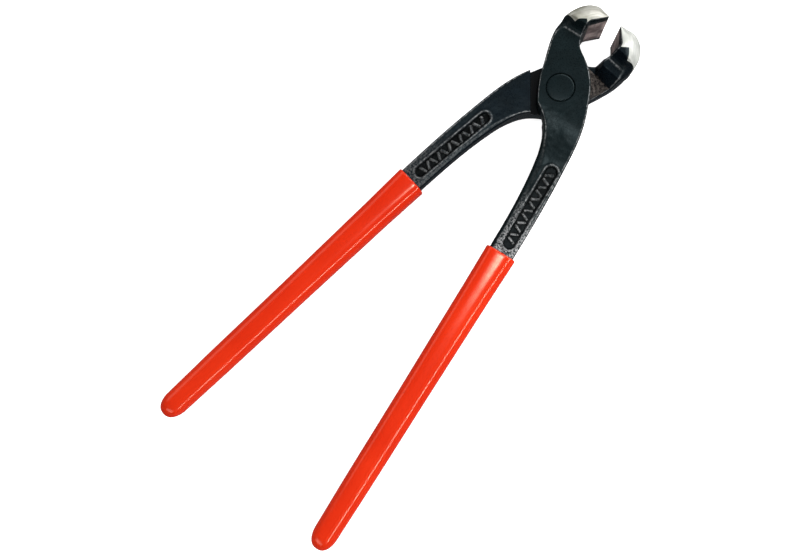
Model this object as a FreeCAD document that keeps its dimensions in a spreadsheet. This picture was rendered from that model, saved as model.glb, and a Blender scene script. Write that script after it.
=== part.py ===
# Concreter's end-cutting nippers: two identical forged levers, one rivet, two dipped grips.
#
# Row frame (mm): +Z runs along the rivet, +Y points at the jaws, and the origin lies on the rivet's axis
# in the plane of the joint's underside. The levers are stored part-way open, half of the opening each.
#
# Lever frame (mm): the origin is the rivet's axis in the lap plane, where the two joint plates meet.
# One lever has its jaw on -X and its handle on +X, with its plate above the lap plane. The lower lever
# is the same forging turned over about the tool's length.
import FreeCAD, Part
import math
import os
import Sketcher

DIMENSIONS = [
    # alias, value, what it is
    ("plate_thickness", 8.0, "one joint plate, lap face to outer face"),
    ("lap_gap", 0.05, "half of the running gap between the two lap faces"),
    ("jaw_half_width", 13.75, "half of the cutting edge's length"),
    ("edge_reach", 32.5, "rivet axis to the cutting edge"),
    ("edge_setback", 0.05, "cutting edge to the centre plane when closed"),
    ("shoulder_reach", 12.0, "rivet axis to the shoulder where the handle thickens"),
    ("shoulder_angle", -44.7, "direction of the shoulder's normal from +X"),
    ("handle_half_height", 5.0, "half of the bare handle's thickness at its head end"),
    ("handle_taper_drop", 0.3, "loss of that half thickness down to the grip"),
    ("half_open", 5.15, "turn of each lever from closed to the stored pose"),
    ("rivet_shank_radius", 4.5, "rivet shank"),
    ("rivet_head_radius", 5.65, "rivet head, flush in its countersink"),
    ("rivet_head_depth", 2.0, "depth of each countersink"),
    ("rivet_end_recess", 0.1, "rivet end below the plate's face"),
    ("rivet_end_chamfer", 0.3, "chamfer round each rivet end"),
    ("running_clearance", 0.05, "radial clearance of the upper lever on the rivet"),
    ("panel_depth", 1.1, "depth of the sunk panels in the bare handle"),
    ("panel_top_width", 5.6, "width of the panel on the plate side"),
    ("panel_lap_width", 5.0, "width of the panel on the lap side"),
    ("rib_height", 0.6, "height of the raised ribs in the panels"),
    ("crown_round_tip", 0.8, "rounding of the crown's ends at the cutting edge"),
    ("crown_round_heel", 8.5, "rounding of the crown's ends at the outer side"),
    ("crown_round_foot", 4.0, "rounding of the jaw's outer corners where it meets the plate"),
    ("bar_angle", 2.45, "lean of the gripped bar away from the lever's length"),
    ("bar_start_x", 18.05, "middle of the handle where the grip starts"),
    ("bar_start_y", -69.0, "level where the grip starts"),
    ("bar_length", 142.0, "length of steel inside the grip"),
    ("grip_length", 146.0, "length of the grip"),
    ("grip_tip_round", 4.2, "rounding of the grip's closed end"),
]

# The plan outline of the bare forging, in the lever frame.
CROWN = [(-3.4, 35.0), (-6.6, 36.4), (-10.6, 35.5), (-14.4, 31.0), (-15.7, 25.5)]
CROWN_RUN_OUT = (5.0, 29.4)
CROWN_START = (-5.0, 3.0)
CROWN_END = (-0.05, -1.0)
BLOCK_END = (0.2, -1.0)
JAW_FOOT = (-15.6, 21.0)
BLOCK_FOOT = (-14.8, 16.0)
PLATE_OUTSIDE = [JAW_FOOT, BLOCK_FOOT, (-12.2, 7.5), (-9.8, 0.0)]
PLATE_CORNER = (-7.7, -4.6)
HANDLE_INSIDE = [(-4.6, -9.8), (-0.6, -12.6), (3.0, -16.2), (6.0, -22.0), (8.4, -31.0), (11.0, -48.0),
                 (12.6, -68.6)]
HANDLE_OUTSIDE = [(23.6, -68.6), (22.3, -47.0), (20.2, -26.0), (17.1, -9.0), (13.3, 0.6), (9.6, 7.6),
                  (5.6, 12.2), (0.6, 15.8)]
BEVEL_OVERRUN = 0.2
THROAT = [(-5.0, 26.8), (-5.0, 22.8), (-3.2, 18.6), (0.6, 15.8)]

# Levels along the lever's length, seen from the side (y, with z measured from the lap plane).
FLARE_FOOT_Y = 21.4
FLARE_BEND = (23.8, 9.9)
FLARE_TOP_Y = 25.2
WALL_FOOT_Y = 15.2
WALL_TOP_Y = 18.2
PLATE_END_Y = -9.0
SLOPE_BENDS = [(-14.0, 7.5), (-24.0, 5.5)]
SLOPE_END_Y = -31.0

# Plan of the lap face where it runs into the throat, and how far it reaches on the outer side.
LAP_NOTCH = [(3.0, 18.6), (-3.3, 18.6), (-6.0, 15.2)]
LAP_OUTSIDE_X = -25.0
SHOULDER_HALF_LENGTH = 25.0

# How far cutters run past the steel: across it, and just past a face.
FAR = 60.0
MARGIN = 1.0

# Cross-sections of the gripped bar and of the grip: distance from the grip's rim, width, height, corner radius.
BAR_SECTIONS = [(-2.0, 10.8, 9.3, 2.0), (30.0, 9.9, 8.6, 3.2), (85.0, 9.2, 8.0, 3.4),
                ("bar_length", 8.2, 7.2, 3.2)]
GRIP_SECTIONS = [(0.0, 13.8, 12.0, 3.2), (20.0, 13.1, 11.5, 4.2), (70.0, 12.2, 10.8, 5.0),
                 (115.0, 11.7, 10.3, 4.9), ("grip_length", 10.6, 9.5, 4.6)]

# Sunk panels: middle of each rounded end, in plan.
PANEL_TOP = ((16.6, -30.5), (18.6, -64.0))
PANEL_LAP = ((14.2, -30.5), (17.6, -64.0))
RIB_COUNT = 12
RIB_LENGTH = 3.2
RIB_WIDTH = 1.0
RIB_SLANT = 25.0

doc = FreeCAD.newDocument("nippers")
V = FreeCAD.Vector


def make_sheet():
    """Fill the spreadsheet of driving dimensions, one alias to a row."""
    sheet = doc.addObject("Spreadsheet::Sheet", "dims")
    for row, (alias, value, meaning) in enumerate(DIMENSIONS, start=1):
        sheet.set(f"A{row}", meaning)
        sheet.set(f"B{row}", str(value))
        sheet.setAlias(f"B{row}", alias)
    doc.recompute()
    return sheet


dims = make_sheet()


def smooth_curve(run, tangents=None):
    """A smooth curve through the run's points, with its end directions where they are given."""
    points = [V(x, y, 0) for x, y in run]
    curve = Part.BSplineCurve()
    if tangents:
        first, last = (V(x, y, 0) for x, y in tangents)
        curve.interpolate(Points=points, InitialTangent=first, FinalTangent=last)
    else:
        curve.interpolate(points)
    return curve


def closed_outline(sketch, runs):
    """Draw a closed outline: each run starts where the last one ended.

    A run is two points for a line, more for a smooth curve, or a curve made already.
    """
    pieces = []
    for run in runs:
        if isinstance(run, Part.BSplineCurve):
            curve = run
        elif len(run) == 2:
            curve = Part.LineSegment(*[V(x, y, 0) for x, y in run])
        else:
            curve = smooth_curve(run)
        pieces.append(sketch.addGeometry(curve, False))
    for this, following in zip(pieces, pieces[1:] + pieces[:1]):
        sketch.addConstraint(Sketcher.Constraint("Coincident", this, 2, following, 1))


def polygon(points):
    """The runs of a closed polygon."""
    return list(zip(points, points[1:] + points[:1]))


def plain_sketch(name, runs, on_side=False):
    """A sketch in plan, or from the side with its own x along +Y and its own y along +Z."""
    sketch = doc.addObject("Sketcher::SketchObject", name)
    if on_side:
        sketch.Placement = FreeCAD.Placement(V(0, 0, 0), FreeCAD.Rotation(V(1, 1, 1), 120))
    closed_outline(sketch, runs)
    return sketch


def extrusion(name, sketch, forward, reverse="0"):
    """Extrude a sketch along its own normal, with both lengths bound to the sheet."""
    solid = doc.addObject("Part::Extrusion", name)
    solid.Base = sketch
    solid.DirMode = "Normal"
    solid.Solid = True
    solid.setExpression("LengthFwd", forward)
    solid.setExpression("LengthRev", reverse)
    return solid


def boolean(kind, name, base, tools):
    """Fuse the tools to the base, or cut them from it."""
    joined = doc.addObject("Part::MultiFuse", name + "_tools" if kind == "cut" else name)
    if kind == "fuse":
        joined.Shapes = [base] + tools
        return joined
    joined.Shapes = tools
    result = doc.addObject("Part::Cut", name)
    result.Base = base
    result.Tool = joined
    return result


def bar_sketch(body, name, distance, width, height, radius):
    """A rounded rectangle across a bar that runs along -Y, at a distance from the bar's start."""
    sketch = body.newObject("Sketcher::SketchObject", name)
    plane = next(f for f in body.Origin.OriginFeatures if f.Role == "XZ_Plane")
    sketch.AttachmentSupport = [(plane, "")]
    sketch.MapMode = "FlatFace"
    level = f"dims.{distance}" if isinstance(distance, str) else str(distance)
    sketch.setExpression("AttachmentOffset.Base.z", level)
    x = width / 2
    y = height / 2
    corners = [(x - radius, y - radius, 0), (radius - x, y - radius, 90), (radius - x, radius - y, 180),
               (x - radius, radius - y, 270)]
    arcs = []
    for cx, cy, start in corners:
        circle = Part.Circle(V(cx, cy, 0), V(0, 0, 1), radius)
        arcs.append(Part.ArcOfCircle(circle, math.radians(start), math.radians(start + 90)))
    for arc, following in zip(arcs, arcs[1:] + arcs[:1]):
        sketch.addGeometry(arc, False)
        sketch.addGeometry(Part.LineSegment(arc.EndPoint, following.StartPoint), False)
    for index in range(8):
        sketch.addConstraint(Sketcher.Constraint("Coincident", index, 2, (index + 1) % 8, 1))
    return sketch


def bar_loft(body, name, kind, sections):
    """Loft a bar through its cross-sections, added to the body or taken from it."""
    sketches = [bar_sketch(body, f"{name}_{i}", *section) for i, section in enumerate(sections)]
    loft = body.newObject(kind, name)
    loft.Profile = sketches[0]
    loft.Sections = sketches[1:]
    loft.Ruled = False
    return loft


def place_lever_piece(shape, flipped):
    """Place an object made in the lever frame at the stored pose; the lower lever is turned over."""
    half = math.radians(dims.half_open) / 2
    turned_over = FreeCAD.Rotation(V(math.sin(half), math.cos(half), 0), 180)
    opened = FreeCAD.Rotation(V(0, 0, 1), dims.half_open)
    shape.Placement = FreeCAD.Placement(V(0, 0, dims.plate_thickness), turned_over if flipped else opened)


def bar_placement():
    """Where the gripped bar and the grip start, in the lever frame."""
    lean = FreeCAD.Rotation(V(0, 0, 1), dims.bar_angle)
    return FreeCAD.Placement(V(dims.bar_start_x, dims.bar_start_y, 0), lean)


def rivet_head(clearance):
    """Foot and rim of the rivet's head cone, as (radius, height above the lap plane), grown by a clearance."""
    foot = (dims.rivet_shank_radius + clearance, dims.plate_thickness - dims.rivet_head_depth)
    rim_height = dims.plate_thickness - dims.rivet_end_recess - dims.rivet_end_chamfer
    return [foot, (dims.rivet_head_radius + clearance, rim_height)]


def bore_cutter(name, clearance):
    """The lever's bore and countersink for the rivet."""
    body = doc.addObject("PartDesign::Body", name)
    sketch = body.newObject("Sketcher::SketchObject", name + "_profile")
    plane = next(f for f in body.Origin.OriginFeatures if f.Role == "XZ_Plane")
    sketch.AttachmentSupport = [(plane, "")]
    sketch.MapMode = "FlatFace"
    foot, rim = rivet_head(clearance)
    above = dims.plate_thickness + MARGIN
    points = [(0, -MARGIN), (foot[0], -MARGIN), foot, rim, (rim[0], above), (0, above)]
    closed_outline(sketch, polygon(points))
    turn = body.newObject("PartDesign::Revolution", name + "_turn")
    turn.Profile = sketch
    turn.ReferenceAxis = (sketch, ["V_Axis"])
    turn.Angle = 360
    return body


def panel(name, ends, width_alias, above):
    """A sunk panel with rounded ends, and the zigzag of slanted ribs that stands on its floor."""
    (x1, y1), (x2, y2) = ends
    radius = getattr(dims, width_alias) / 2
    along = V(x2 - x1, y2 - y1, 0)
    length = along.Length
    along.normalize()
    side = V(0, 0, 1).cross(along) * radius
    start, end = V(x1, y1, 0), V(x2, y2, 0)
    sketch = doc.addObject("Sketcher::SketchObject", name + "_outline")
    edges = [Part.LineSegment(start + side, end + side), Part.Arc(end + side, end + along * radius, end - side),
             Part.LineSegment(end - side, start - side),
             Part.Arc(start - side, start - along * radius, start + side)]
    for edge in edges:
        sketch.addGeometry(edge, False)
    sign = 1 if above else -1
    floor = f"(dims.handle_half_height - dims.handle_taper_drop / 2 - dims.panel_depth) * {sign}"
    square_across = math.degrees(math.atan2(along.y, along.x)) + 90
    pocket = doc.addObject("Part::Extrusion", name)
    pocket.Base = sketch
    pocket.DirMode = "Custom"
    pocket.Dir = V(0, 0, sign)
    pocket.Solid = True
    pocket.LengthFwd = dims.plate_thickness
    pocket.setExpression("Placement.Base.z", floor)
    ribs = []
    for i in range(RIB_COUNT):
        middle = start + along * (length * (i + 0.5) / RIB_COUNT)
        turn = FreeCAD.Rotation(V(0, 0, 1), square_across + RIB_SLANT * (-1) ** i)
        rib = doc.addObject("Part::Box", f"{name}_rib_{i}")
        rib.Length = RIB_LENGTH
        rib.Width = RIB_WIDTH
        rib.setExpression("Height", "dims.rib_height * 2")
        corner = middle - turn.multVec(V(RIB_LENGTH / 2, RIB_WIDTH / 2, 0))
        rib.Placement = FreeCAD.Placement(V(corner.x, corner.y, 0), turn)
        rib.setExpression("Placement.Base.z", f"{floor} - dims.rib_height")
        ribs.append(rib)
    return pocket, ribs


def rounded_jaw(name, tip):
    """The jaw's block, its crown rounded off towards both ends, least at the cutting edge."""
    crown = smooth_curve([CROWN_RUN_OUT, tip] + CROWN, [CROWN_START, CROWN_END])
    heel = smooth_curve([CROWN[-1], JAW_FOOT, BLOCK_FOOT], [CROWN_END, BLOCK_END])
    corner = (CROWN_RUN_OUT[0], BLOCK_FOOT[1])
    outline = [crown, heel, [BLOCK_FOOT, corner], [corner, CROWN_RUN_OUT]]
    block = extrusion(name + "_jaw_block", plain_sketch(name + "_jaw_outline", outline), "dims.jaw_half_width",
                      "dims.jaw_half_width")
    doc.recompute()
    rounds = []
    for index, edge in enumerate(block.Shape.Edges, start=1):
        box = edge.BoundBox
        if edge.Curve.TypeId != "Part::GeomBSplineCurve" or box.ZLength > 1:
            continue
        is_crown = box.YMax > dims.edge_reach
        small = dims.crown_round_tip if is_crown else dims.crown_round_foot
        heel_end = dims.crown_round_heel
        rounds.append((index, heel_end, small) if is_crown else (index, small, heel_end))
    rounded = doc.addObject("Part::Fillet", name + "_jaw")
    rounded.Base = block
    rounded.Edges = rounds
    return rounded


def make_lever(name, flipped, clearance):
    """One forged lever with its jaw, plate, bare handle and the bar inside the grip."""
    tip = (-dims.edge_setback, dims.edge_reach)
    plate, jaw, bare = dims.plate_thickness, dims.jaw_half_width, dims.handle_half_height
    end = bare - dims.handle_taper_drop
    tail = dims.bar_start_y
    beside = jaw + MARGIN
    past_flare = FLARE_TOP_Y + MARGIN
    under_block = BLOCK_FOOT[1] - MARGIN
    past_tail = tail - MARGIN

    throat_top = (THROAT[-1][0], JAW_FOOT[1])
    outline = [PLATE_OUTSIDE, [PLATE_OUTSIDE[-1], PLATE_CORNER], [PLATE_CORNER, HANDLE_INSIDE[0]],
               HANDLE_INSIDE, [HANDLE_INSIDE[-1], HANDLE_OUTSIDE[0]], HANDLE_OUTSIDE,
               [THROAT[-1], throat_top], [throat_top, JAW_FOOT]]
    blank = extrusion(name + "_blank", plain_sketch(name + "_plan", outline), "dims.plate_thickness",
                      "dims.plate_thickness")
    whole = boolean("fuse", name + "_whole", blank, [rounded_jaw(name, tip)])

    bevel = (tip[0] - THROAT[0][0], tip[1] - THROAT[0][1])
    past_tip = (tip[0] + BEVEL_OVERRUN * bevel[0], tip[1] + BEVEL_OVERRUN * bevel[1])
    right = CROWN_RUN_OUT[0] + MARGIN
    throat = [[past_tip, THROAT[0]], THROAT, [THROAT[-1], (right, THROAT[-1][1])],
              [(right, THROAT[-1][1]), (right, past_tip[1])], [(right, past_tip[1]), past_tip]]
    throat_sketch = plain_sketch(name + "_throat", throat)
    throat_cut = extrusion(name + "_throat_cut", throat_sketch, f"{beside}", f"{beside}")

    flanks = []
    for side, sign in (("top", 1), ("lap", -1)):
        flare = [(y, z * sign) for y, z in ((FLARE_TOP_Y, jaw), FLARE_BEND, (FLARE_FOOT_Y, plate))]
        line = [[(past_flare, beside * sign), (past_flare, jaw * sign)],
                [(past_flare, jaw * sign), flare[0]], flare,
                [flare[-1], (under_block, plate * sign)],
                [(under_block, plate * sign), (under_block, beside * sign)],
                [(under_block, beside * sign), (past_flare, beside * sign)]]
        sketch = plain_sketch(f"{name}_{side}_flare", line, True)
        flanks.append(extrusion(f"{name}_{side}_flank", sketch, f"{FAR}", f"{FAR}"))

    slope = [[(PLATE_END_Y, plate)] + SLOPE_BENDS + [(SLOPE_END_Y, bare)],
             [(SLOPE_END_Y, bare), (past_tail, end)], [(past_tail, end), (past_tail, beside)],
             [(past_tail, beside), (PLATE_END_Y, beside)],
             [(PLATE_END_Y, beside), (PLATE_END_Y, plate)]]
    slope_cut = extrusion(name + "_slope_cut", plain_sketch(name + "_slope", slope, True), f"{FAR}", f"{FAR}")
    wall_start = WALL_FOOT_Y - 3 * MARGIN
    wall = polygon([(WALL_TOP_Y, -beside), (WALL_TOP_Y, -plate), (WALL_FOOT_Y, dims.lap_gap),
                    (wall_start, dims.lap_gap), (wall_start, -beside)])
    wall_cut = extrusion(name + "_wall_cut", plain_sketch(name + "_wall", wall, True), f"{FAR}", f"{FAR}")
    under_start = WALL_FOOT_Y - MARGIN
    under = polygon([(under_start, -bare), (SLOPE_END_Y, -bare), (past_tail, -end), (past_tail, -beside),
                     (under_start, -beside)])
    under_cut = extrusion(name + "_under_cut", plain_sketch(name + "_under", under, True), f"{FAR}", f"{FAR}")

    angle = math.radians(dims.shoulder_angle)
    normal = V(math.cos(angle), math.sin(angle), 0)
    level = V(-normal.y, normal.x, 0) * SHOULDER_HALF_LENGTH
    right_end = normal * dims.shoulder_reach + level
    left_end = normal * dims.shoulder_reach - level
    lap_top = WALL_FOOT_Y - 2 * MARGIN
    notch_right, notch_left = LAP_NOTCH[0][0], LAP_NOTCH[-1][0]
    lap = polygon([(right_end.x, right_end.y), (right_end.x, lap_top), (notch_right, lap_top)] + LAP_NOTCH
                  + [(notch_left, lap_top), (LAP_OUTSIDE_X, lap_top), (LAP_OUTSIDE_X, left_end.y),
                     (left_end.x, left_end.y)])
    lap_cut = extrusion(name + "_lap_cut", plain_sketch(name + "_lap_outline", lap), "dims.lap_gap",
                        f"dims.jaw_half_width + {MARGIN}")

    bore = bore_cutter(name + "_bore", clearance)
    pocket_top, ribs_top = panel(name + "_panel_top", PANEL_TOP, "panel_top_width", True)
    pocket_lap, ribs_lap = panel(name + "_panel_lap", PANEL_LAP, "panel_lap_width", False)
    tools = [throat_cut] + flanks + [slope_cut, wall_cut, under_cut, lap_cut, bore, pocket_top, pocket_lap]
    cut = boolean("cut", name + "_forging", whole, tools)

    bar = doc.addObject("PartDesign::Body", name + "_bar")
    bar_loft(bar, name + "_bar_loft", "PartDesign::AdditiveLoft", BAR_SECTIONS)
    bar.Placement = bar_placement()
    lever = boolean("fuse", name, cut, [bar] + ribs_top + ribs_lap)
    place_lever_piece(lever, flipped)
    return lever


def make_grip(name, flipped):
    """One dipped sleeve, closed at its tail, over the lever's bar."""
    body = doc.addObject("PartDesign::Body", name)
    outside = bar_loft(body, name + "_outside", "PartDesign::AdditiveLoft", GRIP_SECTIONS)
    doc.recompute()
    tail = [f"Edge{i}" for i, e in enumerate(body.Shape.Edges, start=1)
            if e.BoundBox.YMax < -dims.grip_length + 0.01]
    rounding = body.newObject("PartDesign::Fillet", name + "_tip")
    rounding.Base = (outside, tail)
    rounding.setExpression("Radius", "dims.grip_tip_round")
    bar_loft(body, name + "_cavity", "PartDesign::SubtractiveLoft", BAR_SECTIONS)
    place_lever_piece(body, flipped)
    body.Placement = body.Placement.multiply(bar_placement())
    return body


def make_rivet():
    """The rivet, with a flush head in each lever's countersink."""
    body = doc.addObject("PartDesign::Body", "rivet")
    sketch = body.newObject("Sketcher::SketchObject", "rivet_profile")
    plane = next(f for f in body.Origin.OriginFeatures if f.Role == "XZ_Plane")
    sketch.AttachmentSupport = [(plane, "")]
    sketch.MapMode = "FlatFace"
    end = dims.plate_thickness - dims.rivet_end_recess
    half = rivet_head(0) + [(dims.rivet_head_radius - dims.rivet_end_chamfer, end)]
    points = [(0, -end)] + [(r, -z) for r, z in reversed(half)] + half + [(0, end)]
    closed_outline(sketch, polygon(points))
    turn = body.newObject("PartDesign::Revolution", "rivet_turn")
    turn.Profile = sketch
    turn.ReferenceAxis = (sketch, ["V_Axis"])
    turn.Angle = 360
    body.setExpression("Placement.Base.z", "dims.plate_thickness")
    return body


def check_document():
    """Stop if any object failed to recompute."""
    failed = [o.Name for o in doc.Objects if "Invalid" in o.State or "Error" in o.State]
    if failed:
        raise SystemExit(f"objects that failed to recompute: {failed}")


def write_parts(parts):
    """Check each piece's shape and write it as STEP under its own label."""
    os.makedirs("parts", exist_ok=True)
    for piece in parts:
        shape = piece.Shape
        if shape.isNull() or not shape.isValid() or len(shape.Solids) != 1:
            raise SystemExit(f"{piece.Label} is not one valid solid: {len(shape.Solids)} solids")
        box = shape.BoundBox
        print(f"{piece.Label}: {shape.Volume:.0f} mm3, X {box.XMin:.1f}..{box.XMax:.1f}, "
              f"Y {box.YMin:.1f}..{box.YMax:.1f}, Z {box.ZMin:.1f}..{box.ZMax:.1f}")
        shape.exportStep(f"parts/{piece.Label}.step")


pieces = [
    make_lever("upper_lever", False, dims.running_clearance),
    make_lever("lower_lever", True, 0),
    make_grip("upper_grip", False),
    make_grip("lower_grip", True),
    make_rivet(),
]
doc.recompute()
check_document()
write_parts(pieces)
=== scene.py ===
"""End-cutting nippers: two forged levers on one rivet, in dipped grips, on a pale studio floor."""
import math

import bmesh
import bpy
import numpy as np
from mathutils import Matrix, Vector, noise


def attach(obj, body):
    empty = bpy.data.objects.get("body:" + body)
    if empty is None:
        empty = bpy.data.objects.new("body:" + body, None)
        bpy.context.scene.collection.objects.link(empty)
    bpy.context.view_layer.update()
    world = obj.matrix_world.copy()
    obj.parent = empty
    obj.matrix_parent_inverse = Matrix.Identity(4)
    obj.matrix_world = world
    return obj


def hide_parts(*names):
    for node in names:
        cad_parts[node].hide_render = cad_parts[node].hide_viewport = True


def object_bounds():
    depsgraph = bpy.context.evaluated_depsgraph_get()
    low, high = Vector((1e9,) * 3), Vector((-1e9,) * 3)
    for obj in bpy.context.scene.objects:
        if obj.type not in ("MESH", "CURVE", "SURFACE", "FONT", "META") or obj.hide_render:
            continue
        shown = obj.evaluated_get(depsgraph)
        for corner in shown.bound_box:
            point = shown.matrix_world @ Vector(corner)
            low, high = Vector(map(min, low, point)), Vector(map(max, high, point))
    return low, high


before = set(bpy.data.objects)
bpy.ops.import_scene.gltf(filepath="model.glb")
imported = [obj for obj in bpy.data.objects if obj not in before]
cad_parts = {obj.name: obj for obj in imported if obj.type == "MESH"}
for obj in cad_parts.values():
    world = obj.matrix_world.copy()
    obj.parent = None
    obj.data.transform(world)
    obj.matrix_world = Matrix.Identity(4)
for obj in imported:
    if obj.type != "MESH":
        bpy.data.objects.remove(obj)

cad_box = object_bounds()
MM = 0.001

# ---------------------------------------------------------------------------------------------
# The lever's shape, in millimetres, in its own frame: the origin is the rivet's axis in the lap plane,
# where the two levers meet. The jaw is on -X, the handle on +X, and the plate stands above z = 0.
# A row of the mesh runs from the left rail to the right rail, and rows go from the tail to the edge.
# ---------------------------------------------------------------------------------------------
# The plan outline. Its left rail is the handle's inside, the plate's corner and outside, and the crown; its
# right rail is the handle's outside, the throat and the bevel. Both end at the cutting edge.
CUTTING_EDGE = (-0.05, 32.5)
HANDLE_INSIDE = [(12.6, -68.6), (11.0, -48.0), (8.4, -31.0), (6.0, -22.0), (3.0, -16.2), (-0.6, -12.6),
                 (-4.6, -9.8)]
PLATE_CORNER = (-7.7, -4.6)
PLATE_OUTSIDE = [(-9.8, 0.0), (-12.2, 7.5), (-14.8, 16.0), (-15.6, 21.0), (-15.6, 25.5)]
CROWN = [PLATE_OUTSIDE[-1], (-14.2, 31.0), (-10.4, 35.3), (-6.6, 36.2), (-3.4, 34.9), CUTTING_EDGE]
HANDLE_OUTSIDE = [(23.6, -68.6), (22.3, -47.0), (20.2, -26.0), (17.1, -9.0), (13.3, 0.6), (9.6, 7.6),
                  (5.6, 12.2), (0.6, 15.8)]
THROAT = [HANDLE_OUTSIDE[-1], (-3.2, 18.6), (-5.0, 22.8), (-5.0, 26.8)]

# Heights, measured from the lap plane.
PLATE_TOP, HANDLE_HALF, TAIL_HALF, JAW_HALF = 8.0, 5.0, 4.7, 13.75
LAP_GAP = 0.05

# Side view, as places along Y: the slope from handle to plate, the handle's taper, and the flare of the jaw.
SLOPE, TAPER_RUN = (-31.0, -9.0), 39.0
FLARE, FLARE_CURVE = (21.4, 25.2), 2.4

# The wall from the lap face down to the jaw. Its foot runs forward beside the throat, between two points.
WALL_FOOT, WALL_RUN, WALL_NOTCH = 15.2, 3.0, ((-6.0, 15.2), (-3.3, 18.6))

# The shoulder, where the lap face ends and the handle takes its full thickness: a line in plan.
SHOULDER_ANGLE, SHOULDER_REACH, SHOULDER_DRAFT = math.radians(-44.7), 12.0, 0.4

# Each lever is stored turned open by this much.
HALF_OPEN = math.radians(5.15)

# The bar inside the grip. One section a line: distance from the grip's rim, width, height, corner radius.
BAR_START, BAR_LEAN = (18.05, -69.0), math.radians(2.45)
BAR_LENGTH = 141.9
BAR = [
    (0.4, 10.9, 9.35, 1.8),
    (30.0, 9.9, 8.6, 3.2),
    (85.0, 9.2, 8.0, 3.4),
    (BAR_LENGTH, 8.2, 7.2, 3.2),
]

# The sunk panels: the middles of their rounded ends, and their width.
TOP_PANEL = (((16.4, -30.5), (18.6, -64.0)), 5.6)
LAP_PANEL = (((14.0, -29.6), (17.6, -64.0)), 5.0)
PANEL_DEPTH, PANEL_WALL, PANEL_MARGIN = 1.1, 0.5, 6.0
RIM_HEIGHT, RIM_WIDTH, RIM_OUTSIDE = 0.35, 0.38, 0.3
RIB_COUNT, RIB_LENGTH, RIB_WIDTH, RIB_HEIGHT, RIB_SLANT = 12, 3.6, 0.9, 0.95, math.radians(25)
RIB_FLANK, RIB_END_RUN = 0.4, 0.15

# Rings along the bar, as distances from the grip's rim.
BAR_RINGS = (BAR_LENGTH, 120, 100, 80, 60, 40, 20, 8, 2, 0.4)

# The painted highlight line across the foot of the jaw's flare, kept with the worn-edge marks: its place
# along Y, half width and strength.
FLARE_LINE, FLARE_LINE_HALF, FLARE_LINE_GLINT = FLARE[0] + 0.3, 0.35, 0.7

# How finely the loop round the lever is divided, and its eight stretches in order.
CORNER_STEPS, FACE_STEPS, SIDE_STEPS = 7, 44, 12
TOP, TOP_RIGHT, RIGHT, LAP_RIGHT, LAP, LAP_LEFT, LEFT, TOP_LEFT = range(8)

# The least height left between a side's two corners, and the part of the width that a left or right corner
# may take.
LEAST_SIDE, LEFT_SHARE, RIGHT_SHARE = 0.3, 0.85, 0.136

# One knot a line: left rail point, right rail point, rows up to the next knot, then how four corners
# are rounded, each as (inset in plan, drop in height): plate side left and right, lap side left and right.
SHOULDER = "shoulder"
BROAD, INNER, OUTER = (3.3, 2.4), (1.7, 1.2), (1.0, 1.0)
CRISP, LAP_EDGE = (0.5, 0.5), (0.25, 0.25)
KNOTS = [
    (HANDLE_INSIDE[0], HANDLE_OUTSIDE[0], 140, BROAD, OUTER, INNER, OUTER),
    ((8.4, -31.0), (20.9, -31.0), 30, BROAD, OUTER, INNER, OUTER),
    ((3.6, -17.0), (18.4, -15.0), 8, (1.2, 1.0), (0.9, 0.9), (1.0, 0.9), (0.9, 0.9)),
    (SHOULDER, 0.0, 2, (0.9, 0.8), (0.8, 0.8), (0.6, 0.6), (0.6, 0.6)),
    (SHOULDER, SHOULDER_DRAFT, 22, (0.8, 0.8), (0.8, 0.8), LAP_EDGE, LAP_EDGE),
    (HANDLE_INSIDE[-1], (10.8, 5.6), 12, CRISP, (0.7, 0.7), LAP_EDGE, LAP_EDGE),
    (PLATE_CORNER, (7.0, 10.6), 10, CRISP, (0.7, 0.7), LAP_EDGE, LAP_EDGE),
    (PLATE_OUTSIDE[0], (5.0, 12.7), 28, CRISP, (0.6, 0.6), LAP_EDGE, LAP_EDGE),
    ((-14.5, WALL_FOOT), THROAT[0], 12, (0.8, 0.8), (0.4, 0.4), (0.8, 0.8), (2.4, 3.0)),
    ((-15.2, 18.2), THROAT[1], 10, (1.2, 1.2), (0.4, 0.4), (1.2, 1.2), (2.0, 2.6)),
    ((-15.6, 21.4), (-4.7, 21.2), 14, (3.0, 3.0), (0.4, 0.4), (3.0, 3.0), (0.8, 0.8)),
    (PLATE_OUTSIDE[-1], (-5.0, 23.4), 18, (5.4, 8.5), (0.8, 0.8), (5.4, 8.5), (0.8, 0.8)),
    ((-13.0, 32.8), (-5.05, 25.4), 18, (8.8, 12.6), (1.6, 2.8), (8.8, 12.6), (1.6, 2.8)),
    ((-8.6, 36.0), THROAT[-1], 20, (8.2, 11.5), (1.5, 3.4), (8.2, 11.5), (1.5, 3.4)),
    ((-3.4, 34.9), (-2.6, 29.6), 20, (4.5, 6.6), (0.8, 3.2), (4.5, 6.6), (0.8, 3.2)),
    (CUTTING_EDGE, CUTTING_EDGE, 0, (0.4, 0.6), (0.1, 2.6), (0.4, 0.6), (0.1, 2.6)),
]

# The knots where the lap face, the wall, the ground crown's flank and top, and the ground bevel start.
LAP_KNOT, WALL_KNOT, CROWN_KNOT, CROWN_TOP_KNOT, BEVEL_KNOT = 4, 8, 11, 12, 13

# Rounds of averaging that blend the corner sizes over the jaw.
JAW_BLENDS = 45

# Both jaws lean a little to the tool's right: where the lean starts along Y, the run it grows over, its size.
JAW_LEAN_START, JAW_LEAN_RUN, JAW_LEAN = 14.0, 18.0, 0.6

# The forging's unevenness: waves a millimetre, and height in millimetres. The skin is let in by a little, so
# that the waves stay inside the true size.
FORGED_WAVES = ((0.16, 0.08), (0.55, 0.04), (1.7, 0.02))
SKIN_LET_IN = 0.05

# The lever's material slots, in order.
BLACK, CROWN_STEEL, BEVEL_STEEL, LAP_STEEL = range(4)

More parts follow.
